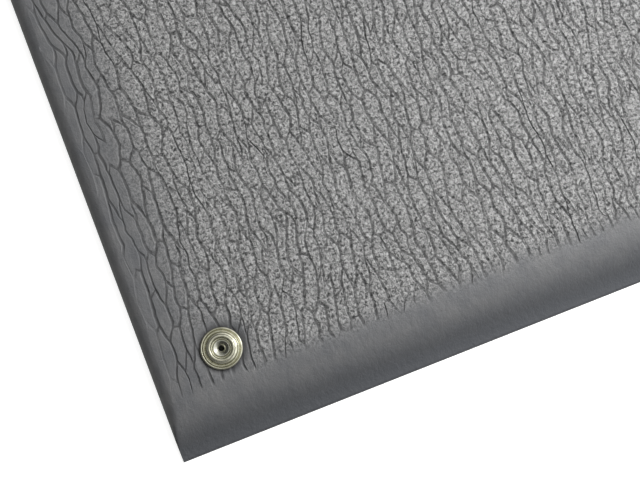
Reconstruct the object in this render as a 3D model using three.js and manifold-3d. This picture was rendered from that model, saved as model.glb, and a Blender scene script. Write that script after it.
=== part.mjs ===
// An ESD floor mat: one moulded slab of vinyl foam with a press stud for its grounding cord.
// Millimetres. The mat lies on the floor at z = 0, centred on the origin, its long side along X.
// The embossed grain of the top is under a millimetre deep and isn't part of these solids.
import * as THREE from 'three';
import { mergeVertices } from 'three/addons/utils/BufferGeometryUtils.js';
import Module from 'manifold-3d';

// The slab
const MAT_LENGTH = 900;
const MAT_WIDTH = 600;
const MAT_THICKNESS = 9;

// The wide bevel along both long sides: a thin lip, then a round slope up to the flat top
const LIP_THICKNESS = 2.5;
const LIP_WIDTH = 5;
const LIP_ROUNDING = 1.2;
const BEVEL_RUN = 16.7;

// The rolled ends: an upright land, then a quarter ellipse up to the flat top
const END_LAND = 3;
const END_ROLL_WIDTH = 6;

// The stud's place, from the left end and from where the front bevel meets the flat top
const STUD_FROM_END = 28.2;
const STUD_FROM_BEVEL = 12.6;

// The foam pressed down round the stud's flange
const DIMPLE_DEPTH = 0.8;
const DIMPLE_SLOPE_WIDTH = 3.2;

// The eyelet that holds the stud: a tube with a back flange and a rolled top
const EYELET_BORE_RADIUS = 1.65;
const EYELET_WALL = 0.5;
const EYELET_ROLL_OVERHANG = 1.1;
const EYELET_ROLL_HEIGHT = 1.1;
const BACK_FLANGE_RADIUS = 6;
const BACK_FLANGE_THICKNESS = 0.8;
const BACK_FLANGE_ROUNDING = 0.3;
const BACK_FLANGE_INSET = 0.2;

// The stud's radii, as widths outward from the eyelet's roll
const WELL_GAP = 0.7;
const CREST_INNER_ROUNDING = 0.4;
const CREST_WIDTH = 0.4;
const HEAD_ROUNDING = 0.5;
const NECK_UNDERCUT = 0.5;
const SHOULDER_WIDTH = 1.4;
const VALLEY_WIDTH = 0.75;
const RIM_BEAD_RADIUS = 0.55;

// The stud's heights, upward from the flange's underside
const FLANGE_SHEET = 0.45;
const SHOULDER_HEIGHT = 0.85;
const NECK_HEIGHT = 0.5;
const HEAD_SIDE_HEIGHT = 1.6;
const HEAD_ROUNDING_HEIGHT = 0.8;
const WELL_FLOOR_HEIGHT = 1.4;

// Clearances: metal in foam, and the eyelet in the stud
const FOAM_CLEARANCE = 0.3;
const METAL_CLEARANCE = 0.15;

// How finely round shapes are faceted
const TURNED_SEGMENTS = 32;
const ARC_DIVISIONS = 3;
const BEVEL_DIVISIONS = 6;

// Radii and levels that follow from the sizes above
const barrelRadius = EYELET_BORE_RADIUS + EYELET_WALL;
const rollRadius = barrelRadius + EYELET_ROLL_OVERHANG;
const wellRadius = rollRadius + WELL_GAP;
const crestInnerRadius = wellRadius + CREST_INNER_ROUNDING;
const crestOuterRadius = crestInnerRadius + CREST_WIDTH;
const headRadius = crestOuterRadius + HEAD_ROUNDING;
const neckRadius = headRadius - NECK_UNDERCUT;
const shoulderRadius = neckRadius + SHOULDER_WIDTH;
const beadCentreRadius = shoulderRadius + VALLEY_WIDTH + RIM_BEAD_RADIUS;
const flangeRadius = beadCentreRadius + RIM_BEAD_RADIUS;

const shoulderTop = FLANGE_SHEET + SHOULDER_HEIGHT;
const headRoundingStart = shoulderTop + NECK_HEIGHT + HEAD_SIDE_HEIGHT;
const studHeight = headRoundingStart + HEAD_ROUNDING_HEIGHT;

const recessDepth = BACK_FLANGE_INSET + BACK_FLANGE_THICKNESS + FOAM_CLEARANCE;
const dimpleFloor = MAT_THICKNESS - DIMPLE_DEPTH;
const studBase = dimpleFloor + FOAM_CLEARANCE;
const eyeletRollBase = studBase + WELL_FLOOR_HEIGHT + METAL_CLEARANCE - BACK_FLANGE_INSET;

const studX = -MAT_LENGTH / 2 + STUD_FROM_END;
const studY = -MAT_WIDTH / 2 + LIP_WIDTH + BEVEL_RUN + STUD_FROM_BEVEL;

const QUARTER_TURN = Math.PI / 2;
const CUT_OVERRUN = 1;

const foamMaterial = new THREE.MeshStandardMaterial({ color: 0x4b4c4e, roughness: 0.75, metalness: 0 });
const studMaterial = new THREE.MeshStandardMaterial({ color: 0xc4c2a4, roughness: 0.25, metalness: 1 });
const eyeletMaterial = new THREE.MeshStandardMaterial({ color: 0xbdbba6, roughness: 0.3, metalness: 1 });

const wasm = await Module();
wasm.setup();

function toSolid(geometry) {
  const bare = geometry.clone();
  bare.deleteAttribute('normal');
  bare.deleteAttribute('uv');
  const merged = mergeVertices(bare);
  return new wasm.Manifold(new wasm.Mesh({
    numProp: 3,
    vertProperties: new Float32Array(merged.attributes.position.array),
    triVerts: new Uint32Array(merged.index.array),
  }));
}

function toGeometry(solid) {
  const mesh = solid.getMesh();
  const geometry = new THREE.BufferGeometry();
  geometry.setAttribute('position', new THREE.BufferAttribute(mesh.vertProperties, 3));
  geometry.setIndex(new THREE.BufferAttribute(mesh.triVerts, 1));
  geometry.computeVertexNormals();
  return geometry;
}

// A closed outline of radius and height, turned about the Z axis
function turned(outline, divisions = ARC_DIVISIONS) {
  outline.closePath();
  return new THREE.LatheGeometry(outline.getPoints(divisions), TURNED_SEGMENTS).rotateX(QUARTER_TURN);
}

// A round plug between two levels, for cutting
function plug(radius, bottom, top) {
  const height = top - bottom;
  const geometry = new THREE.CylinderGeometry(radius, radius, height, TURNED_SEGMENTS);
  return toSolid(geometry.rotateX(QUARTER_TURN).translate(studX, studY, bottom + height / 2));
}

// The mat's section across its width: lip, round slope, flat top, and the same mirrored
function acrossWidth() {
  const side = MAT_WIDTH / 2;
  const foot = side - LIP_WIDTH;
  const shoulder = foot - BEVEL_RUN;
  const rise = MAT_THICKNESS - LIP_THICKNESS;
  const slopeRadius = (BEVEL_RUN ** 2 + rise ** 2) / (2 * rise);
  const slopeCentre = MAT_THICKNESS - slopeRadius;
  const footAngle = Math.atan2(LIP_THICKNESS - slopeCentre, BEVEL_RUN);
  const noseY = side - LIP_ROUNDING;
  const noseZ = LIP_THICKNESS - LIP_ROUNDING;
  const section = new THREE.Shape();
  section.moveTo(-side, 0);
  section.lineTo(side, 0);
  section.absarc(noseY, noseZ, LIP_ROUNDING, 0, QUARTER_TURN, false);
  section.lineTo(foot, LIP_THICKNESS);
  section.absarc(shoulder, slopeCentre, slopeRadius, footAngle, QUARTER_TURN, false);
  section.absarc(-shoulder, slopeCentre, slopeRadius, QUARTER_TURN, Math.PI - footAngle, false);
  section.lineTo(-noseY, LIP_THICKNESS);
  section.absarc(-noseY, noseZ, LIP_ROUNDING, QUARTER_TURN, Math.PI, false);
  return section;
}

// The mat's section along its length: upright land, quarter ellipse, flat top, and the same mirrored
function alongLength() {
  const end = MAT_LENGTH / 2;
  const rollX = end - END_ROLL_WIDTH;
  const rollHeight = MAT_THICKNESS - END_LAND;
  const section = new THREE.Shape();
  section.moveTo(-end, 0);
  section.lineTo(end, 0);
  section.absellipse(rollX, END_LAND, END_ROLL_WIDTH, rollHeight, 0, QUARTER_TURN, false);
  section.absellipse(-rollX, END_LAND, END_ROLL_WIDTH, rollHeight, QUARTER_TURN, Math.PI, false);
  return section;
}

// A section extruded to a slab that is centred on its own length
function slab(section, length, divisions) {
  const options = { depth: length, bevelEnabled: false, curveSegments: divisions };
  return new THREE.ExtrudeGeometry(section, options).translate(0, 0, -length / 2);
}

// The foam pressed down round the flange: a flat seat and a slope up to the flat top
function dimple() {
  const seatRadius = flangeRadius + FOAM_CLEARANCE;
  const rimRadius = seatRadius + DIMPLE_SLOPE_WIDTH;
  const outline = new THREE.Path();
  outline.moveTo(0, dimpleFloor);
  outline.lineTo(seatRadius, dimpleFloor);
  outline.lineTo(rimRadius, MAT_THICKNESS);
  outline.lineTo(rimRadius, MAT_THICKNESS + CUT_OVERRUN);
  outline.lineTo(0, MAT_THICKNESS + CUT_OVERRUN);
  const geometry = new THREE.LatheGeometry(outline.getPoints(1), TURNED_SEGMENTS);
  return toSolid(geometry.rotateX(QUARTER_TURN).translate(studX, studY, 0));
}

function matGeometry() {
  const yzPlane = new THREE.Matrix4().makeBasis(
    new THREE.Vector3(0, 1, 0), new THREE.Vector3(0, 0, 1), new THREE.Vector3(1, 0, 0));
  const xzPlane = new THREE.Matrix4().makeBasis(
    new THREE.Vector3(1, 0, 0), new THREE.Vector3(0, 0, 1), new THREE.Vector3(0, -1, 0));
  const bevelled = slab(acrossWidth(), MAT_LENGTH, BEVEL_DIVISIONS).applyMatrix4(yzPlane);
  const rolled = slab(alongLength(), MAT_WIDTH, ARC_DIVISIONS).applyMatrix4(xzPlane);
  return toGeometry(toSolid(bevelled)
    .intersect(toSolid(rolled))
    .subtract(dimple())
    .subtract(plug(barrelRadius + FOAM_CLEARANCE, -CUT_OVERRUN, MAT_THICKNESS + CUT_OVERRUN))
    .subtract(plug(BACK_FLANGE_RADIUS + FOAM_CLEARANCE, -CUT_OVERRUN, recessDepth)));
}

// The stamped stud, as its outline from the eyelet's hole outward, up over the head and down the well
function pressStudGeometry() {
  const holeRadius = barrelRadius + METAL_CLEARANCE;
  const outline = new THREE.Path();
  outline.moveTo(holeRadius, 0);
  outline.lineTo(beadCentreRadius, 0);
  outline.absarc(beadCentreRadius, RIM_BEAD_RADIUS, RIM_BEAD_RADIUS, -QUARTER_TURN, Math.PI, false);
  outline.lineTo(shoulderRadius, FLANGE_SHEET);
  outline.quadraticCurveTo(shoulderRadius, shoulderTop, neckRadius + SHOULDER_WIDTH / 2, shoulderTop);
  outline.lineTo(neckRadius, shoulderTop + NECK_HEIGHT);
  outline.lineTo(headRadius, headRoundingStart);
  outline.absellipse(crestOuterRadius, headRoundingStart, HEAD_ROUNDING, HEAD_ROUNDING_HEIGHT,
    0, QUARTER_TURN, false);
  outline.absarc(crestInnerRadius, studHeight - CREST_INNER_ROUNDING, CREST_INNER_ROUNDING,
    QUARTER_TURN, Math.PI, false);
  outline.lineTo(wellRadius, WELL_FLOOR_HEIGHT);
  outline.lineTo(holeRadius, WELL_FLOOR_HEIGHT);
  return turned(outline);
}

// The eyelet, as its outline from the bore outward along the back flange, up the tube and over the roll
function eyeletPostGeometry() {
  const edgeRadius = BACK_FLANGE_RADIUS - BACK_FLANGE_ROUNDING;
  const rollCentre = (EYELET_BORE_RADIUS + rollRadius) / 2;
  const rollHalfWidth = (rollRadius - EYELET_BORE_RADIUS) / 2;
  const outline = new THREE.Path();
  outline.moveTo(EYELET_BORE_RADIUS, 0);
  outline.lineTo(edgeRadius, 0);
  outline.absarc(edgeRadius, BACK_FLANGE_ROUNDING, BACK_FLANGE_ROUNDING, -QUARTER_TURN, 0, false);
  outline.lineTo(BACK_FLANGE_RADIUS, BACK_FLANGE_THICKNESS);
  outline.lineTo(barrelRadius, BACK_FLANGE_THICKNESS);
  outline.lineTo(barrelRadius, eyeletRollBase);
  outline.lineTo(rollRadius, eyeletRollBase);
  outline.absellipse(rollCentre, eyeletRollBase, rollHalfWidth, EYELET_ROLL_HEIGHT, 0, Math.PI, false);
  return turned(outline, 2 * ARC_DIVISIONS);
}

function named(name, geometry, material) {
  const mesh = new THREE.Mesh(geometry, material);
  mesh.name = name;
  return mesh;
}

const mat = named('mat', matGeometry(), foamMaterial);

const pressStud = named('press_stud', pressStudGeometry(), studMaterial);
pressStud.position.set(studX, studY, studBase);

const eyeletPost = named('eyelet_post', eyeletPostGeometry(), eyeletMaterial);
eyeletPost.position.set(studX, studY, BACK_FLANGE_INSET);

const esdFloorMat = new THREE.Group();
esdFloorMat.add(mat, pressStud, eyeletPost);

export default esdFloorMat;
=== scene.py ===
"""The looks of an ESD floor mat: its embossed foam slab, its press stud and the eyelet that holds it."""
import math
import random

import bmesh
import bpy
from mathutils import Matrix, Vector, noise


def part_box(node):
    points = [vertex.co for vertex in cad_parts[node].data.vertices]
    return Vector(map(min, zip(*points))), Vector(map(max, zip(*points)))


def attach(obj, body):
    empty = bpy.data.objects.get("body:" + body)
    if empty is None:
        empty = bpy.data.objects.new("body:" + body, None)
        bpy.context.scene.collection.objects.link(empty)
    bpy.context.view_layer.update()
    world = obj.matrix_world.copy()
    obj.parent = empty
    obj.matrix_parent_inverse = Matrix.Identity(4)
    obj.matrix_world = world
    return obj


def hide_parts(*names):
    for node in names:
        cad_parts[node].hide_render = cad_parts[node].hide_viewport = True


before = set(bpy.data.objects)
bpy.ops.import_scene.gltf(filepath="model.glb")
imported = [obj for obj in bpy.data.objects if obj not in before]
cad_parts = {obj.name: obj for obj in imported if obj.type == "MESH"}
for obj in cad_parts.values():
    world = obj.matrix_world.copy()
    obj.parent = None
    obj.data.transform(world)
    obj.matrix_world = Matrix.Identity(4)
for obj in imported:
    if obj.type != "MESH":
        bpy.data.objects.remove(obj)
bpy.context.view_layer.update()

MM = 0.001

# The mat's outline, from the frame, and its section, in metres
mat_low, mat_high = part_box("mat")
HALF_LENGTH = mat_high.x
HALF_WIDTH = mat_high.y
TOP = mat_high.z
LIP_THICKNESS = 2.5 * MM
LIP_WIDTH = 5 * MM
LIP_ROUNDING = 1.2 * MM
LIP_FALL = 1.1 * MM
BEVEL_WIDTH = 21.7 * MM
END_LAND = 3 * MM
END_ROLL_WIDTH = 6 * MM

# The stud's axis and seat, from the frame
stud_low, stud_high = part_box("press_stud")
eyelet_low, eyelet_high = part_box("eyelet_post")
STUD_AXIS = (stud_low + stud_high) / 2
FLANGE_RADIUS = (stud_high.x - stud_low.x) / 2

# The embossed grain: long pointed cells with narrow grooves between them
CELL_ACROSS = 4.4 * MM
CELL_ALONG = 15.5 * MM
ROW_PITCH = math.sqrt(3) / 2
CELL_JITTER_ACROSS = 0.3
CELL_JITTER_ALONG = 0.45
SMALLEST_CELL = 16 * MM ** 2
NARROWEST_CELL = 2.1 * MM
GROOVE_HALF_WIDTHS = (0.2 * MM, 0.5 * MM, 0.7 * MM, 0.9 * MM)
MITRE_LIMIT = 1.9 * MM
PULL_BACKS = 8
PULL_BACK_SHARE = 0.6
GROOVE_DEPTH = 0.62 * MM
GRAIN_END_INSET = 4.2 * MM
SWAY = 8 * MM
SWAY_LENGTH = 60 * MM
WANDER = 2.4 * MM
WANDER_LENGTH = 13 * MM
WIGGLE = 1.0 * MM
WIGGLE_LENGTH = 5 * MM
BORDER_CALM = 9 * MM
GRAIN_SEED = 11
SWAY_SEED = 3

# Grooves near the stud's corner are cut into short stretches, so that they curve in close views
CLOSE_VIEW_REACH = 250 * MM
SHORT_STRETCH = 2.4 * MM
LONG_STRETCH = 10 * MM
MOST_CUTS = 6

# The foam pressed down round the stud, and the hole through it
SEAT_DROP = 0.55 * MM
SEAT_REACH = 2.5 * MM
HOLE_RADIUS = 2.45 * MM
RECESS_RADIUS = 6.3 * MM
RECESS_DEPTH = 1.3 * MM
HOLE_SIDES = 48

# The stud's radii, from the eyelet's hole outward
STUD_HOLE = 2.3 * MM
WELL = 3.95 * MM
CREST_INNER = 4.35 * MM
CREST_OUTER = 4.75 * MM
HEAD = 5.25 * MM
NECK = 4.75 * MM
SHOULDER_INNER = 5.45 * MM
SHOULDER_OUTER = 6.15 * MM
RIM_BEAD = 0.55 * MM

# The stud's heights above the underside of its flange
SHOULDER_TOP = 1.3 * MM
NECK_TOP = 1.8 * MM
HEAD_SIDE_TOP = 3.4 * MM
WELL_FLOOR = 1.4 * MM
CREST_HEIGHT = stud_high.z - stud_low.z

# The eyelet's radii and heights
BORE = 1.65 * MM
BARREL = 2.15 * MM
ROLL_OUTER = 3.25 * MM
ROLL_HEIGHT = 1.1 * MM
ROLL_CROWN = 2.95 * MM
BACK_FLANGE = 6 * MM
BACK_FLANGE_THICKNESS = 0.8 * MM
TURNED_STEPS = 72

# The dish inside the eyelet's roll: radius, and height above the roll's base, in millimetres
EYELET_DISH = (
    (2.7, 1.05), (2.4, 0.92), (2, 0.7), (1.6, 0.47), (1.25, 0.2), (1.05, 0), (1, -0.3), (1.15, -0.7),
    (1.65, -1.1),
)


def smooth_step(value, start, end):
    """0 before start, 1 after end, and a smooth rise between."""
    share = min(max((value - start) / (end - start), 0), 1)
    return share * share * (3 - 2 * share)


def bevel_height(inset):
    """The top's height at a distance from a bevelled edge."""
    if inset >= BEVEL_WIDTH:
        return TOP
    run = BEVEL_WIDTH - LIP_WIDTH
    rise = TOP - LIP_THICKNESS
    radius = (run ** 2 + rise ** 2) / (2 * rise)
    slope = TOP - radius + math.sqrt(radius ** 2 - (BEVEL_WIDTH - inset) ** 2)
    return max(slope, LIP_THICKNESS - LIP_FALL * max(1 - inset / LIP_WIDTH, 0))


def roll_height(inset):
    """The top's height at a distance from a rolled end."""
    share = max(END_ROLL_WIDTH - inset, 0) / END_ROLL_WIDTH
    return END_LAND + (TOP - END_LAND) * math.sqrt(max(1 - share ** 2, 0))


def from_side(point):
    return HALF_WIDTH - abs(point.y)


def from_end(point):
    return HALF_LENGTH - abs(point.x)


def from_corner(point):
    return math.hypot(point.x + HALF_LENGTH, point.y + HALF_WIDTH)


def from_stud(point):
    return math.hypot(point.x - STUD_AXIS.x, point.y - STUD_AXIS.y)


def only(kind, items):
    """The items of one kind among what an operator returns."""
    return [item for item in items if isinstance(item, kind)]


def long_cell_net():
    """A flat net of long pointed cells: the dual of a staggered, jittered net of triangles."""
    columns = round(2 * HALF_LENGTH / CELL_ACROSS) + 6
    rows = round(2 * HALF_WIDTH / CELL_ALONG) + 6
    draw = random.Random(GRAIN_SEED)
    bm = bmesh.new()
    bmesh.ops.create_grid(bm, x_segments=columns, y_segments=rows, size=0.5)
    bmesh.ops.scale(bm, vec=(columns, rows * ROW_PITCH, 1), verts=bm.verts)
    for vert in bm.verts:
        row = round(vert.co.y / ROW_PITCH + rows / 2)
        stagger = 0.25 if row % 2 else -0.25
        vert.co.x += stagger + draw.uniform(-CELL_JITTER_ACROSS, CELL_JITTER_ACROSS)
        vert.co.y += draw.uniform(-CELL_JITTER_ALONG, CELL_JITTER_ALONG)
    bmesh.ops.triangulate(bm, faces=bm.faces)
    bmesh.ops.beautify_fill(bm, faces=bm.faces, edges=bm.edges, method="AREA")
    bmesh.ops.scale(bm, vec=(CELL_ACROSS, CELL_ALONG / ROW_PITCH, 1), verts=bm.verts)
    triangles = bpy.data.meshes.new("grain_triangles")
    bm.to_mesh(triangles)
    bm.free()
    carrier = bpy.data.objects.new("grain_triangles", triangles)
    bpy.context.scene.collection.objects.link(carrier)
    tree = bpy.data.node_groups.new("cells_round_points", "GeometryNodeTree")
    tree.interface.new_socket("Geometry", in_out="INPUT", socket_type="NodeSocketGeometry")
    tree.interface.new_socket("Geometry", in_out="OUTPUT", socket_type="NodeSocketGeometry")
    start = tree.nodes.new("NodeGroupInput")
    dual = tree.nodes.new("GeometryNodeDualMesh")
    end = tree.nodes.new("NodeGroupOutput")
    tree.links.new(start.outputs["Geometry"], dual.inputs["Mesh"])
    tree.links.new(dual.outputs["Dual Mesh"], end.inputs["Geometry"])
    carrier.modifiers.new("cells", "NODES").node_group = tree
    shown = carrier.evaluated_get(bpy.context.evaluated_depsgraph_get())
    cells = bpy.data.meshes.new_from_object(shown)
    bpy.data.objects.remove(carrier)
    bpy.data.meshes.remove(triangles)
    bpy.data.node_groups.remove(tree)
    return cells


def trim(bm, limit_x, limit_y):
    """Cuts the net straight at the borders of the grain, and keeps its border points on them."""
    cuts = (
        (Vector((limit_x, 0, 0)), Vector((1, 0, 0))),
        (Vector((-limit_x, 0, 0)), Vector((-1, 0, 0))),
        (Vector((0, limit_y, 0)), Vector((0, 1, 0))),
        (Vector((0, -limit_y, 0)), Vector((0, -1, 0))),
    )
    for place, outward in cuts:
        geometry = bm.verts[:] + bm.edges[:] + bm.faces[:]
        bmesh.ops.bisect_plane(bm, geom=geometry, plane_co=place, plane_no=outward, clear_outer=True)
    merge = 0.4 * MM
    bmesh.ops.remove_doubles(bm, verts=bm.verts, dist=merge)
    for vert in bm.verts:
        if abs(abs(vert.co.x) - limit_x) < merge:
            vert.co.x = math.copysign(limit_x, vert.co.x)
        if abs(abs(vert.co.y) - limit_y) < merge:
            vert.co.y = math.copysign(limit_y, vert.co.y)


def split_grooves(bm):
    """Cuts the net's edges into stretches: short ones near the stud's corner, long ones elsewhere."""
    groups = {cuts: [] for cuts in range(1, MOST_CUTS + 1)}
    for edge in bm.edges:
        middle = (edge.verts[0].co + edge.verts[1].co) / 2
        stretch = SHORT_STRETCH if from_corner(middle) < CLOSE_VIEW_REACH else LONG_STRETCH
        cuts = min(int(edge.calc_length() / stretch), MOST_CUTS)
        if cuts > 0 and not edge.is_boundary:
            groups[cuts].append(edge)
    for cuts, edges in groups.items():
        bmesh.ops.bisect_edges(bm, edges=edges, cuts=cuts)


def merge_small_cells(bm):
    """Joins each very small or narrow cell with the neighbour across its longest edge."""
    joined = set()
    edges = []
    for face in bm.faces:
        width = 2 * face.calc_area() / face.calc_perimeter()
        if face.calc_area() < SMALLEST_CELL or width < NARROWEST_CELL:
            longest = max(face.edges, key=lambda edge: edge.calc_length())
            if len(longest.link_faces) == 2 and joined.isdisjoint(longest.link_faces):
                joined.update(longest.link_faces)
                edges.append(longest)
    bmesh.ops.dissolve_edges(bm, edges=edges)


def sway(bm, reach, length, height, calm=0):
    """Shifts the net by a smooth random field, which fades out within the calm distance of its borders."""
    for vert in bm.verts:
        room = min(from_end(vert.co) - GRAIN_END_INSET, from_side(vert.co) - BEVEL_WIDTH)
        share = smooth_step(room, 0, calm) if calm else 1
        shift = noise.noise_vector(Vector((vert.co.x / length, vert.co.y / length, height)))
        vert.co.x += share * reach * shift.x
        vert.co.y += share * reach * shift.y


def inset_cells(bm, groove):
    """Insets each cell by a groove's half width, and marks the new points as the raised ones."""
    draw = random.Random(GRAIN_SEED + 1)
    groups = {width: [] for width in GROOVE_HALF_WIDTHS}
    for face in bm.faces:
        room = 0.6 * face.calc_area() / face.calc_perimeter()
        fitting = [width for width in GROOVE_HALF_WIDTHS if width < room] or [min(GROOVE_HALF_WIDTHS)]
        groups[draw.choice(fitting[-2:])].append(face)
    old = set(bm.verts)
    for width, faces in groups.items():
        bmesh.ops.inset_individual(bm, faces=faces, thickness=width, use_even_offset=True)
    roots = {}
    for vert in bm.verts:
        if vert not in old:
            vert[groove] = 0
            neighbours = [edge.other_vert(vert) for edge in vert.link_edges]
            roots[vert] = next(other for other in neighbours if other in old)
    for vert, root in roots.items():
        reach = max((vert.co - root.co).length, MITRE_LIMIT)
        vert.co = root.co.lerp(vert.co, MITRE_LIMIT / reach)
    for repeat in range(PULL_BACKS):
        for vert in folded_points(bm) & roots.keys():
            vert.co = roots[vert].co.lerp(vert.co, PULL_BACK_SHARE)
    # Faces are split while flat, because sunk grooves are split in another way, which folds some over
    bmesh.ops.triangulate(bm, faces=bm.faces)
    bm.normal_update()


def folded_points(bm):
    """The points of a flat sheet's triangles that have turned over."""
    folded = set()
    for triangle in bm.calc_loop_triangles():
        first, second, third = (loop.vert for loop in triangle)
        if (second.co - first.co).cross(third.co - first.co).z < -1e-11:
            folded.update((first, second, third))
    return folded


def grain_sheet():
    """The flat net, trimmed and inset, with a vertex value of 1 along the grooves and 0 on the cells."""
    # Without a seed, noise vectors are offset by the clock and each run gives another net
    noise.seed_set(SWAY_SEED)
    cells = long_cell_net()
    bm = bmesh.new()
    bm.from_mesh(cells)
    bpy.data.meshes.remove(cells)
    sway(bm, SWAY, SWAY_LENGTH, 3)
    trim(bm, HALF_LENGTH - GRAIN_END_INSET, HALF_WIDTH - BEVEL_WIDTH)
    merge_small_cells(bm)
    split_grooves(bm)
    sway(bm, WANDER, WANDER_LENGTH, 5, BORDER_CALM)
    sway(bm, WIGGLE, WIGGLE_LENGTH, 9, BORDER_CALM)
    groove = bm.verts.layers.float.new("groove")
    bm.verts.layers.float.new("relief")
    for vert in bm.verts:
        vert[groove] = 1
    inset_cells(bm, groove)
    return bm


def refine_round_stud(bm):
    """Splits the triangles that the stud's flange presses on, so that the dimple is round."""
    reach = FLANGE_RADIUS + 3 * SEAT_REACH
    near = [face for face in bm.faces if from_stud(face.calc_center_median()) < reach]
    edges = {edge for face in near for edge in face.edges}
    bmesh.ops.subdivide_edges(bm, edges=list(edges), cuts=1, use_grid_fill=True)


def sharpen_cells(bm):
    """Marks the rim of each cell sharp, so that cells shade flat and grooves shade as valleys."""
    groove = bm.verts.layers.float["groove"]
    for edge in bm.edges:
        if max(vert[groove] for vert in edge.verts) < 0.01:
            sunk = [face for face in edge.link_faces if max(vert[groove] for vert in face.verts) > 0.01]
            edge.smooth = len(sunk) != 1


def set_heights(bm):
    """Lays the flat sheet over the mat's top, and sinks its grooves."""
    groove = bm.verts.layers.float["groove"]
    relief = bm.verts.layers.float["relief"]
    for vert in bm.verts:
        place = Vector((vert.co.x * 90, vert.co.y * 45, 7))
        strength = min(max(0.95 + 0.4 * noise.noise(place), 0.65), 1)
        ragged = (0.5 + noise.noise(Vector((vert.co.x * 120, vert.co.y * 40, 2)))) * 2.5 * MM
        side = from_side(vert.co) - BEVEL_WIDTH - ragged
        end = from_end(vert.co) - GRAIN_END_INSET
        stud = from_stud(vert.co) - FLANGE_RADIUS
        seat_press_and_lip_shade = 1 - smooth_step(stud, 0, SEAT_REACH)
        vert[relief] = smooth_step(side, -3 * MM, 8 * MM) * smooth_step(end, 3 * MM, 35 * MM)
        vert[relief] *= smooth_step(stud, 0, 7 * MM)
        vert[groove] *= strength * smooth_step(side, -0.5 * MM, 1.5 * MM) * smooth_step(end, 0, 5 * MM)
        vert[groove] *= 1 - 0.65 * seat_press_and_lip_shade
        height = min(bevel_height(from_side(vert.co)), roll_height(from_end(vert.co)))
        vert.co.z = height - vert[groove] * GROOVE_DEPTH - seat_press_and_lip_shade * SEAT_DROP
        # Painted shadow: within 2 mm of the flange the groove value is raised to 1, so the material darkens a
        # ring round it like a groove.
        vert[groove] = max(vert[groove], 1 - smooth_step(stud, 0, 2 * MM))


def border(bm, on_border):
    """The edges of the open border whose ends both pass a test."""
    return [edge for edge in bm.edges if edge.is_boundary and all(on_border(vert) for vert in edge.verts)]


def add_row(bm, edges, place):
    """Extrudes border edges to a new row, and moves each new vertex to its place."""
    made = bmesh.ops.extrude_edge_only(bm, edges=edges)["geom"]
    for vert in only(bmesh.types.BMVert, made):
        vert.co = place(vert.co)
    return only(bmesh.types.BMEdge, made)


def bevel_rows():
    """Distances from the edge and heights of the bevel's rows, from the flat top down to the floor."""
    slope_steps = 7
    nose_steps = 3
    rows = []
    for step in range(1, slope_steps + 1):
        inset = BEVEL_WIDTH - (BEVEL_WIDTH - LIP_WIDTH) * step / slope_steps
        rows.append((inset, bevel_height(inset)))
    for step in range(nose_steps + 1):
        angle = math.pi / 2 * (1 - step / nose_steps)
        inset = LIP_ROUNDING * (1 - math.cos(angle))
        rows.append((inset, bevel_height(LIP_ROUNDING) - LIP_ROUNDING * (1 - math.sin(angle))))
    rows.append((0, 0))
    return rows


def roll_rows():
    """Distances from the end and heights of the roll's rows, down to the floor."""
    first = math.acos(1 - GRAIN_END_INSET / END_ROLL_WIDTH)
    steps = 7
    rows = []
    for step in range(1, steps + 1):
        angle = first * (1 - step / steps)
        height = END_LAND + (TOP - END_LAND) * math.sin(angle)
        rows.append((END_ROLL_WIDTH * (1 - math.cos(angle)), height))
    rows.append((0, 0))
    return rows


def add_edges(bm):
    """The bevels along both sides and then the rolls across both ends, row by row down to the floor."""
    for side in (-1, 1):
        flat_edge = side * (HALF_WIDTH - BEVEL_WIDTH)
        edges = border(bm, lambda vert: abs(vert.co.y - flat_edge) < 1e-6)
        for inset, height in bevel_rows():
            y = side * (HALF_WIDTH - inset)
            edges = add_row(bm, edges, lambda co: Vector((co.x, y, min(height, roll_height(from_end(co))))))
    for end in (-1, 1):
        grain_edge = end * (HALF_LENGTH - GRAIN_END_INSET)
        edges = border(bm, lambda vert: abs(vert.co.x - grain_edge) < 1e-6)
        for inset, height in roll_rows():
            x = end * (HALF_LENGTH - inset)
            edges = add_row(bm, edges, lambda co: Vector((x, co.y, min(height, co.z))))
    bmesh.ops.remove_doubles(bm, verts=bm.verts, dist=0.01 * MM)
    relief = bm.verts.layers.float["relief"]
    for vert in bm.verts:
        vert[relief] *= smooth_step(from_side(vert.co), BEVEL_WIDTH - 2 * MM, BEVEL_WIDTH - 0.1 * MM)


def add_hole_and_underside(bm):
    """Opens the hole under the stud, steps it out to the recess beneath, and closes the underside."""
    covered = 0.7 * FLANGE_RADIUS
    hidden = [face for face in bm.faces if all(from_stud(vert.co) < covered for vert in face.verts)]
    bmesh.ops.delete(bm, geom=hidden, context="FACES")
    opening = border(bm, lambda vert: from_stud(vert.co) < FLANGE_RADIUS)
    seat = Matrix.Translation((STUD_AXIS.x, STUD_AXIS.y, TOP - SEAT_DROP))
    ring = bmesh.ops.create_circle(bm, segments=HOLE_SIDES, radius=HOLE_RADIUS, matrix=seat)["verts"]
    rim = list({edge for vert in ring for edge in vert.link_edges})
    bmesh.ops.bridge_loops(bm, edges=opening + rim)
    widen = RECESS_RADIUS / HOLE_RADIUS
    axis = Vector((STUD_AXIS.x, STUD_AXIS.y, 0))
    edges = add_row(bm, rim, lambda co: Vector((co.x, co.y, RECESS_DEPTH)))
    edges = add_row(bm, edges, lambda co: axis + widen * (co - axis) + Vector((0, 0, (1 - widen) * co.z)))
    edges = add_row(bm, edges, lambda co: Vector((co.x, co.y, 0)))
    foot = border(bm, lambda vert: vert.co.z < 1e-6)
    bmesh.ops.triangle_fill(bm, use_beauty=False, use_dissolve=False, edges=foot)
    bmesh.ops.recalc_face_normals(bm, faces=bm.faces)


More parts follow.
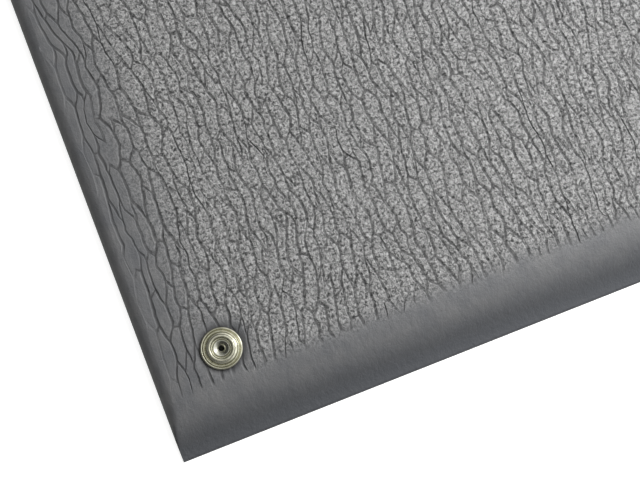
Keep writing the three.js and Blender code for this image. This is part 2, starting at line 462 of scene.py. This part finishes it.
def arc(centre, radii, start, end, steps=6):
    """Points of radius and height along a part of an ellipse, from one angle in degrees to another."""
    points = []
    for step in range(steps + 1):
        angle = math.radians(start + (end - start) * step / steps)
        points.append((centre[0] + radii[0] * math.cos(angle), centre[1] + radii[1] * math.sin(angle)))
    return points


def turn(outline, base):
    """Spins a closed outline of radius and height about the stud's axis."""
    bm = bmesh.new()
    verts = [bm.verts.new((radius, 0, height)) for radius, height in outline]
    for first, second in zip(verts, verts[1:] + verts[:1]):
        bm.edges.new((first, second))
    geometry = bm.verts[:] + bm.edges[:]
    full = 2 * math.pi
    centre = (0, 0, 0)
    bmesh.ops.spin(
        bm, geom=geometry, cent=centre, axis=(0, 0, 1), angle=full, steps=TURNED_STEPS, use_merge=True
    )
    bmesh.ops.remove_doubles(bm, verts=bm.verts, dist=1e-6)
    bmesh.ops.recalc_face_normals(bm, faces=bm.faces)
    bmesh.ops.translate(bm, vec=(STUD_AXIS.x, STUD_AXIS.y, base), verts=bm.verts)
    return bm


def stud_outline():
    """The stamped stud: flange, rolled rim, valley, shoulder, neck, head, crest and well."""
    bead_centre = FLANGE_RADIUS - RIM_BEAD
    valley_radius = 0.25 * MM
    outline = [(STUD_HOLE, 0)]
    outline += arc((bead_centre, RIM_BEAD), (RIM_BEAD, RIM_BEAD), -90, 160, 14)
    outline += arc((6.6 * MM, 0.62 * MM), (valley_radius, valley_radius), -30, -90, 4)
    outline += arc((6.42 * MM, 0.62 * MM), (valley_radius, valley_radius), -90, -160, 4)
    shoulder_width = SHOULDER_OUTER - SHOULDER_INNER
    outline += arc((SHOULDER_INNER, 0.6 * MM), (shoulder_width, SHOULDER_TOP - 0.6 * MM), 0, 90, 8)
    outline += arc((NECK + 0.35 * MM, NECK_TOP), (0.35 * MM, 0.35 * MM), 250, 180, 4)
    outline += arc((HEAD - 0.35 * MM, 2.6 * MM), (0.35 * MM, 0.45 * MM), -60, 0, 4)
    outline += arc((CREST_OUTER, HEAD_SIDE_TOP), (HEAD - CREST_OUTER, CREST_HEIGHT - HEAD_SIDE_TOP), 0, 90, 8)
    inner = CREST_INNER - WELL
    outline += arc((CREST_INNER, CREST_HEIGHT - inner), (inner, inner), 90, 180, 7)
    outline += arc((WELL - 0.3 * MM, WELL_FLOOR + 0.3 * MM), (0.3 * MM, 0.3 * MM), 0, -90, 4)
    outline += [(STUD_HOLE, WELL_FLOOR)]
    return outline


def eyelet_outline(height):
    """The eyelet: bore, back flange, barrel and the rolled top."""
    edge = 0.3 * MM
    roll_base = height - ROLL_HEIGHT
    outline = arc((BORE + edge, edge), (edge, edge), 180, 270, 4)
    outline += arc((BACK_FLANGE - edge, edge), (edge, edge), -90, 0, 4)
    outline += [(BACK_FLANGE, BACK_FLANGE_THICKNESS), (BARREL, BACK_FLANGE_THICKNESS), (BARREL, roll_base)]
    outline += arc((ROLL_CROWN, roll_base), (ROLL_OUTER - ROLL_CROWN, ROLL_HEIGHT), 0, 90, 8)
    outline += [(radius * MM, roll_base + rise * MM) for radius, rise in EYELET_DISH]
    return outline


def finished(name, bm, solid):
    """Makes a mesh piece that rides on the root and stands for a CAD node."""
    mesh = bpy.data.meshes.new(name)
    bm.normal_update()
    bm.to_mesh(mesh)
    bm.free()
    piece = bpy.data.objects.new(name, mesh)
    bpy.context.scene.collection.objects.link(piece)
    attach(piece, "root")
    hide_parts(solid)
    return piece


def shade_smooth(bm):
    for face in bm.faces:
        face.smooth = True


sheet = grain_sheet()
refine_round_stud(sheet)
sharpen_cells(sheet)
set_heights(sheet)
add_edges(sheet)
add_hole_and_underside(sheet)
shade_smooth(sheet)
mat = finished("embossed_mat", sheet, "mat")

stud_mesh = turn(stud_outline(), stud_low.z)
shade_smooth(stud_mesh)
stud = finished("stamped_stud", stud_mesh, "press_stud")
eyelet_mesh = turn(eyelet_outline(eyelet_high.z - eyelet_low.z), eyelet_low.z)
shade_smooth(eyelet_mesh)
eyelet = finished("rolled_eyelet", eyelet_mesh, "eyelet_post")


def node(tree, kind, place, **values):
    """Adds a node and sets its properties and its unlinked inputs by name."""
    made = tree.nodes.new(kind)
    made.location = place
    for name, value in values.items():
        if hasattr(made, name):
            setattr(made, name, value)
        else:
            made.inputs[name.replace("_", " ")].default_value = value
    return made


def foam_material():
    """Dark grey foam skin: flat cells with a fine pebble, whose tone is partly its own and partly painted
    highlight and shade on its bumps and pits, with painted shade along the grooves, round the stud's flange
    and on the bevel's outer strip.
    """
    material = bpy.data.materials.new("vinyl_foam")
    material.use_nodes = True
    tree = material.node_tree
    links = tree.links
    shader = tree.nodes["Principled BSDF"]
    shader.inputs["Roughness"].default_value = 0.5
    place = node(tree, "ShaderNodeTexCoord", (-1400, 0))
    groove = node(tree, "ShaderNodeAttribute", (-1400, 300), attribute_name="groove")
    relief = node(tree, "ShaderNodeAttribute", (-1400, -300), attribute_name="relief")

    pebble = node(tree, "ShaderNodeTexNoise", (-1200, -100), Scale=900, Detail=2.5, Roughness=0.75)
    pebble.inputs["Distortion"].default_value = 0.6
    links.new(place.outputs["Object"], pebble.inputs["Vector"])
    mottle = node(tree, "ShaderNodeTexNoise", (-1200, 100), Scale=120, Detail=3, Roughness=0.6)
    links.new(place.outputs["Object"], mottle.inputs["Vector"])
    along = node(tree, "ShaderNodeMapping", (-1400, -500))
    along.inputs["Scale"].default_value = (1, 0.45, 1)
    links.new(place.outputs["Object"], along.inputs["Vector"])
    ripple = node(tree, "ShaderNodeTexNoise", (-1200, -500), Scale=420, Detail=2, Roughness=0.6)
    links.new(along.outputs["Vector"], ripple.inputs["Vector"])

    waves = node(tree, "ShaderNodeMath", (-1000, -500), operation="MULTIPLY_ADD")
    waves.inputs[1].default_value = 1.2
    links.new(ripple.outputs["Fac"], waves.inputs[0])
    links.new(pebble.outputs["Fac"], waves.inputs[2])
    skin = node(tree, "ShaderNodeMapRange", (-1000, -300), To_Min=0.4, To_Max=1)
    links.new(relief.outputs["Fac"], skin.inputs["Value"])
    rise = node(tree, "ShaderNodeMath", (-800, -200), operation="MULTIPLY")
    links.new(waves.outputs["Value"], rise.inputs[0])
    links.new(skin.outputs["Result"], rise.inputs[1])

    # Partly the skin's own speckled tone and partly painted highlight and shade: the noise that raises the
    # grain's bumps also makes them lighter and its pits darker.
    grain_tone_and_painted_glints = node(tree, "ShaderNodeValToRGB", (-1000, 0))
    grain_tone_and_painted_glints.color_ramp.elements[0].position = 0.36
    grain_tone_and_painted_glints.color_ramp.elements[0].color = (0.018, 0.018, 0.019, 1)
    grain_tone_and_painted_glints.color_ramp.elements[1].position = 0.66
    grain_tone_and_painted_glints.color_ramp.elements[1].color = (0.3, 0.3, 0.3, 1)
    links.new(pebble.outputs["Fac"], grain_tone_and_painted_glints.inputs["Fac"])
    smooth_tone = node(tree, "ShaderNodeValToRGB", (-1000, 250))
    smooth_tone.color_ramp.elements[0].position = 0.3
    smooth_tone.color_ramp.elements[0].color = (0.075, 0.077, 0.083, 1)
    smooth_tone.color_ramp.elements[1].position = 0.7
    smooth_tone.color_ramp.elements[1].color = (0.1, 0.1, 0.103, 1)
    links.new(mottle.outputs["Fac"], smooth_tone.inputs["Fac"])
    # Painted shade: the bevel's outer strip is mixed towards a darker grey, starting 16 mm in from the side
    # and reaching full strength 4 mm from it.
    parts = node(tree, "ShaderNodeSeparateXYZ", (-1200, 500))
    links.new(place.outputs["Object"], parts.inputs["Vector"])
    offset = node(tree, "ShaderNodeMath", (-1050, 500), operation="ABSOLUTE")
    links.new(parts.outputs["Y"], offset.inputs[0])
    lip_shade_share = node(tree, "ShaderNodeMapRange", (-900, 500))
    lip_shade_share.inputs["From Min"].default_value = HALF_WIDTH - 16 * MM
    lip_shade_share.inputs["From Max"].default_value = HALF_WIDTH - 4 * MM
    links.new(offset.outputs["Value"], lip_shade_share.inputs["Value"])
    seat_press_and_lip_shade = node(tree, "ShaderNodeMix", (-850, 250), data_type="RGBA")
    seat_press_and_lip_shade.inputs[7].default_value = (0.055, 0.058, 0.065, 1)
    links.new(lip_shade_share.outputs["Result"], seat_press_and_lip_shade.inputs["Factor"])
    links.new(smooth_tone.outputs["Color"], seat_press_and_lip_shade.inputs[6])
    skin_colour = node(tree, "ShaderNodeMix", (-700, 100), data_type="RGBA")
    links.new(relief.outputs["Fac"], skin_colour.inputs["Factor"])
    links.new(seat_press_and_lip_shade.outputs[2], skin_colour.inputs[6])
    links.new(grain_tone_and_painted_glints.outputs["Color"], skin_colour.inputs[7])

    # Painted shade: the groove value mixes the base colour towards near black, along the grooves and in the
    # painted shadow round the stud's flange.
    groove_painted_shade = node(tree, "ShaderNodeMapRange", (-700, 350), From_Min=0.1, From_Max=1, To_Max=0.75)
    links.new(groove.outputs["Fac"], groove_painted_shade.inputs["Value"])
    colour = node(tree, "ShaderNodeMix", (-450, 200), data_type="RGBA")
    colour.inputs[7].default_value = (0.012, 0.012, 0.013, 1)
    links.new(groove_painted_shade.outputs["Result"], colour.inputs["Factor"])
    links.new(skin_colour.outputs[2], colour.inputs[6])
    links.new(colour.outputs[2], shader.inputs["Base Color"])

    bump = node(tree, "ShaderNodeBump", (-300, -300), Strength=1, Distance=0.45 * MM)
    links.new(rise.outputs["Value"], bump.inputs["Height"])
    links.new(bump.outputs["Normal"], shader.inputs["Normal"])
    return material


def plating_wear():
    """What both platings share: a mask of faint smudges, and a normal with fine rings round the axis."""
    tree = bpy.data.node_groups.new("plating_wear", "ShaderNodeTree")
    tree.interface.new_socket("Smudge Scale", in_out="INPUT", socket_type="NodeSocketFloat")
    tree.interface.new_socket("Ring Scale", in_out="INPUT", socket_type="NodeSocketFloat")
    tree.interface.new_socket("Smudge", in_out="OUTPUT", socket_type="NodeSocketFloat")
    tree.interface.new_socket("Normal", in_out="OUTPUT", socket_type="NodeSocketVector")
    links = tree.links
    start = node(tree, "NodeGroupInput", (-800, 300))
    end = node(tree, "NodeGroupOutput", (200, 0))
    place = node(tree, "ShaderNodeTexCoord", (-1200, 0))
    smudge = node(tree, "ShaderNodeTexNoise", (-600, 200), Detail=4, Roughness=0.65)
    from_axis = node(tree, "ShaderNodeMapping", (-1000, -200))
    from_axis.inputs["Location"].default_value = (-STUD_AXIS.x, -STUD_AXIS.y, 0)
    from_axis.inputs["Scale"].default_value = (1, 1, 0)
    radius = node(tree, "ShaderNodeVectorMath", (-800, -200), operation="LENGTH")
    rings = node(tree, "ShaderNodeTexNoise", (-600, -200), noise_dimensions="1D", Detail=1)
    bump = node(tree, "ShaderNodeBump", (-300, -200), Strength=0.1, Distance=0.01 * MM)
    links.new(start.outputs["Smudge Scale"], smudge.inputs["Scale"])
    links.new(start.outputs["Ring Scale"], rings.inputs["Scale"])
    links.new(place.outputs["Object"], smudge.inputs["Vector"])
    links.new(smudge.outputs["Fac"], end.inputs["Smudge"])
    links.new(place.outputs["Object"], from_axis.inputs["Vector"])
    links.new(from_axis.outputs["Vector"], radius.inputs[0])
    links.new(radius.outputs["Value"], rings.inputs["W"])
    links.new(rings.outputs["Fac"], bump.inputs["Height"])
    links.new(bump.outputs["Normal"], end.inputs["Normal"])
    return tree


def plating_material(name, wear, scales, bright, dull, sharpest, dullest):
    """Plated metal whose colour and roughness follow the smudges."""
    material = bpy.data.materials.new(name)
    material.use_nodes = True
    tree = material.node_tree
    shader = tree.nodes["Principled BSDF"]
    shader.inputs["Metallic"].default_value = 1
    smudge_scale, ring_scale = scales
    worn = node(tree, "ShaderNodeGroup", (-800, 0), node_tree=wear)
    worn.inputs["Smudge Scale"].default_value = smudge_scale
    worn.inputs["Ring Scale"].default_value = ring_scale
    colour = node(tree, "ShaderNodeValToRGB", (-500, 100))
    colour.color_ramp.elements[0].position = 0.35
    colour.color_ramp.elements[0].color = bright
    colour.color_ramp.elements[1].position = 0.75
    colour.color_ramp.elements[1].color = dull
    roughness = node(tree, "ShaderNodeMapRange", (-500, -150), From_Min=0.3, From_Max=0.7)
    roughness.inputs["To Min"].default_value = sharpest
    roughness.inputs["To Max"].default_value = dullest
    tree.links.new(worn.outputs["Smudge"], colour.inputs["Fac"])
    tree.links.new(worn.outputs["Smudge"], roughness.inputs["Value"])
    tree.links.new(colour.outputs["Color"], shader.inputs["Base Color"])
    tree.links.new(roughness.outputs["Result"], shader.inputs["Roughness"])
    tree.links.new(worn.outputs["Normal"], shader.inputs["Normal"])
    return material


def paper_material():
    """White paper that hardly shows the mat's shadow, and is dark where the mat covers it."""
    material = bpy.data.materials.new("floor_paper")
    material.use_nodes = True
    tree = material.node_tree
    shader = tree.nodes["Principled BSDF"]
    shader.inputs["Base Color"].default_value = (0.6, 0.6, 0.6, 1)
    shader.inputs["Roughness"].default_value = 0.9
    shader.inputs["Emission Color"].default_value = (1, 1, 1, 1)
    place = node(tree, "ShaderNodeTexCoord", (-1000, 0))
    parts = node(tree, "ShaderNodeSeparateXYZ", (-800, 0))
    tree.links.new(place.outputs["Object"], parts.inputs["Vector"])
    outside = []
    for height, axis, limit in ((100, "X", HALF_LENGTH), (-100, "Y", HALF_WIDTH)):
        size = node(tree, "ShaderNodeMath", (-600, height), operation="ABSOLUTE")
        beyond = node(tree, "ShaderNodeMath", (-450, height), operation="GREATER_THAN")
        beyond.inputs[1].default_value = limit - 5 * MM
        tree.links.new(parts.outputs[axis], size.inputs[0])
        tree.links.new(size.outputs["Value"], beyond.inputs[0])
        outside.append(beyond)
    either = node(tree, "ShaderNodeMath", (-300, 0), operation="MAXIMUM")
    ray = node(tree, "ShaderNodeLightPath", (-500, -350))
    seen = node(tree, "ShaderNodeMath", (-300, -200), operation="MULTIPLY")
    seen.inputs[1].default_value = 0.85
    glow = node(tree, "ShaderNodeMath", (-150, -100), operation="MULTIPLY")
    tree.links.new(outside[0].outputs["Value"], either.inputs[0])
    tree.links.new(outside[1].outputs["Value"], either.inputs[1])
    tree.links.new(ray.outputs["Is Camera Ray"], seen.inputs[0])
    tree.links.new(either.outputs["Value"], glow.inputs[0])
    tree.links.new(seen.outputs["Value"], glow.inputs[1])
    tree.links.new(glow.outputs["Value"], shader.inputs["Emission Strength"])
    return material


mat.data.materials.append(foam_material())
wear = plating_wear()
champagne = (0.78, 0.77, 0.65, 1)
dull_champagne = (0.54, 0.53, 0.42, 1)
stud_plating = plating_material("stud_plating", wear, (650, 7000), champagne, dull_champagne, 0.06, 0.16)
stud.data.materials.append(stud_plating)
silver = (0.74, 0.74, 0.67, 1)
dull_silver = (0.5, 0.5, 0.43, 1)
eyelet_plating = plating_material("eyelet_plating", wear, (800, 7000), silver, dull_silver, 0.08, 0.2)
eyelet.data.materials.append(eyelet_plating)


def area_light(name, place, target, size, power, mirrored):
    """A soft light, with a choice of whether the metal mirrors it."""
    light = bpy.data.lights.new(name, "AREA")
    light.shape = "RECTANGLE"
    light.size, light.size_y = size
    light.energy = power
    lamp = bpy.data.objects.new(name, light)
    lamp.visible_glossy = mirrored
    lamp.location = place
    lamp.rotation_euler = (Vector(target) - Vector(place)).to_track_quat("-Z", "Y").to_euler()
    bpy.context.scene.collection.objects.link(lamp)


def camera():
    """Looks down on the stud's corner, a little from the front, as the photo does."""
    heading = math.radians(41.2)
    elevation = math.radians(82.7)
    roll = math.radians(20)
    pixels_per_metre = 2.61 / MM
    lens = 70.0
    centre = Vector((-372.2 * MM, -240.3 * MM, 0))
    picture_pixels = 640
    sensor_width = 36
    distance = picture_pixels / pixels_per_metre * lens / sensor_width
    sideways = math.sin(heading) * math.cos(elevation)
    frontward = math.cos(heading) * math.cos(elevation)
    back = Vector((-sideways, -frontward, math.sin(elevation)))
    level = Vector((math.cos(heading), -math.sin(heading), 0))
    upward = back.cross(level)
    right = math.cos(roll) * level + math.sin(roll) * upward
    above = back.cross(right)
    data = bpy.data.cameras.new("camera")
    data.lens = lens
    cam = bpy.data.objects.new("camera", data)
    turned = Matrix((right, above, back)).transposed().to_4x4()
    cam.matrix_world = Matrix.Translation(centre + back * distance) @ turned
    bpy.context.scene.collection.objects.link(cam)
    bpy.context.scene.camera = cam


def paper_floor():
    """The white floor under the mat, which is no part of it."""
    mesh = bpy.data.meshes.new("floor")
    bm = bmesh.new()
    bmesh.ops.create_grid(bm, x_segments=1, y_segments=1, size=20)
    bm.to_mesh(mesh)
    bm.free()
    floor = bpy.data.objects.new("floor", mesh)
    bpy.context.scene.collection.objects.link(floor)
    mesh.materials.append(paper_material())


def studio_world():
    """A sky that brightens towards one side, for the metal to mirror, and is pale below the horizon."""
    world = bpy.data.worlds.new("studio")
    world.use_nodes = True
    tree = world.node_tree
    direction = node(tree, "ShaderNodeTexCoord", (-800, 0))
    toward = node(tree, "ShaderNodeVectorMath", (-600, 0), operation="DOT_PRODUCT")
    toward.inputs[1].default_value = (0.64, 0.05, 0.77)
    shade = node(tree, "ShaderNodeValToRGB", (-400, 0))
    shade.color_ramp.elements[0].position = 0.3
    shade.color_ramp.elements[0].color = (0.05, 0.05, 0.045, 1)
    shade.color_ramp.elements[1].position = 0.93
    shade.color_ramp.elements[1].color = (1, 1, 0.97, 1)
    middle = shade.color_ramp.elements.new(0.72)
    middle.color = (0.3, 0.3, 0.28, 1)
    tree.links.new(direction.outputs["Generated"], toward.inputs[0])
    tree.links.new(toward.outputs["Value"], shade.inputs["Fac"])
    parts = node(tree, "ShaderNodeSeparateXYZ", (-600, -200))
    below = node(tree, "ShaderNodeMapRange", (-400, -250), From_Min=0.05, From_Max=-0.25)
    colour = node(tree, "ShaderNodeMix", (-150, 0), data_type="RGBA")
    colour.inputs[7].default_value = (0.9, 0.9, 0.88, 1)
    tree.links.new(direction.outputs["Generated"], parts.inputs["Vector"])
    tree.links.new(parts.outputs["Z"], below.inputs["Value"])
    tree.links.new(below.outputs["Result"], colour.inputs["Factor"])
    tree.links.new(shade.outputs["Color"], colour.inputs[6])
    tree.links.new(colour.outputs[2], tree.nodes["Background"].inputs["Color"])
    tree.nodes["Background"].inputs["Strength"].default_value = 1.25
    bpy.context.scene.world = world


camera()
paper_floor()
studio_world()
area_light("key", (0.1, 0, 0.65), (-0.1, 0, 0), (0.8, 0.4), 12.4, False)
area_light("panel", (-0.2, -0.24, 0.22), (-0.42, -0.27, 0), (0.1, 0.16), 0.16, True)

bpy.context.scene.view_settings.view_transform = "Standard"
